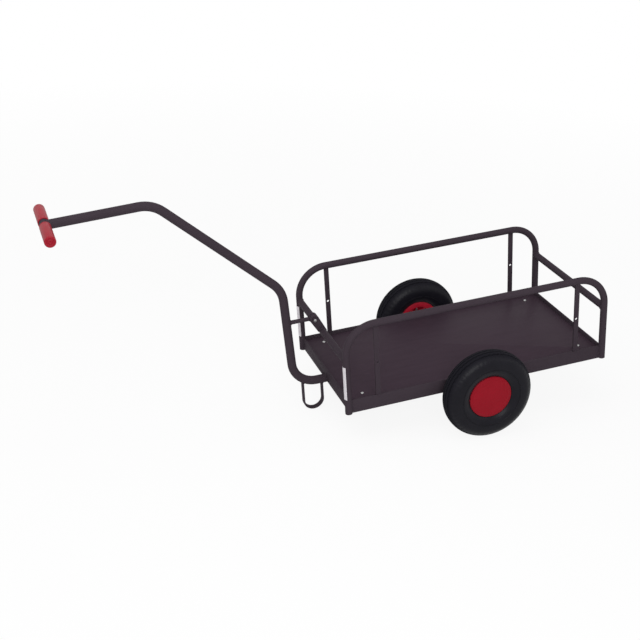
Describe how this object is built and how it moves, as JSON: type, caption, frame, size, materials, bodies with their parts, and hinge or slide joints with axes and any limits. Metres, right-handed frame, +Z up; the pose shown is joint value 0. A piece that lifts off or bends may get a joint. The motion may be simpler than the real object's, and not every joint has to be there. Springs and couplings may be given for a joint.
{
  "type": "hand cart",
  "caption": "Two-wheeled hand cart with a flat deck between tubular side hoops, a bent drawbar with a T-handle, a U-shaped parking stand and pneumatic wheels outside the deck.",
  "frame": {"origin": "floor level, under the middle of the cart's box, parked on its wheels and stand", "axes": "+X towards the handle, +Y to the cart's left, +Z up"},
  "size_m": [1.5688, 0.589, 0.6633],
  "materials": {
    "painted_steel": "satin powder coat, dark anthracite",
    "deck_board": "dark brown film-faced plywood, satin",
    "tyre_rubber": "black rubber, matt",
    "red_plastic": "moulded red plastic, semi-gloss",
    "red_grip": "soft red vinyl",
    "reflective_tape": "white reflective tape",
    "zinc_steel": "zinc-plated steel"
  },
  "bodies": {
    "frame": {"side_rail_left": "painted_steel", "side_rail_right": "painted_steel", "front_member": "painted_steel", "rear_member": "painted_steel", "deck_panel": "deck_board", "deck_bearer_front": "painted_steel", "deck_bearer_middle": "painted_steel", "deck_bearer_rear": "painted_steel", "hoop_left": "painted_steel", "hoop_right": "painted_steel", "upright_front_left": "painted_steel", "upright_front_right": "painted_steel", "upright_rear_left": "painted_steel", "upright_rear_right": "painted_steel", "crossbar_front": "painted_steel", "crossbar_rear": "painted_steel", "reflective_strip_left": "reflective_tape", "reflective_strip_right": "reflective_tape", "drawbar": "painted_steel", "handle_tube": "painted_steel", "grip_left": "red_grip", "grip_right": "red_grip", "stay": "painted_steel", "stay_lug": "painted_steel", "stay_bolt": "zinc_steel", "stand": "painted_steel", "axle": "zinc_steel", "axle_collar_left": "zinc_steel", "axle_collar_right": "zinc_steel", "axle_washer_left": "zinc_steel", "axle_washer_right": "zinc_steel"},
    "wheel_left": {"tyre_left": "tyre_rubber", "rim_left": "red_plastic", "hub_cap_left": "red_plastic"},
    "wheel_right": {"tyre_right": "tyre_rubber", "rim_right": "red_plastic", "hub_cap_right": "red_plastic"}
  },
  "joints": [
    {"name": "wheel_left_spin", "type": "hinge", "parent": "frame", "child": "wheel_left", "pos_m": [-0.38673, 0.2585, 0.13], "axis": [0, 1, 0], "continuous": true},
    {"name": "wheel_right_spin", "type": "hinge", "parent": "frame", "child": "wheel_right", "pos_m": [-0.38673, -0.2585, 0.13], "axis": [0, 1, 0], "continuous": true}
  ]
}
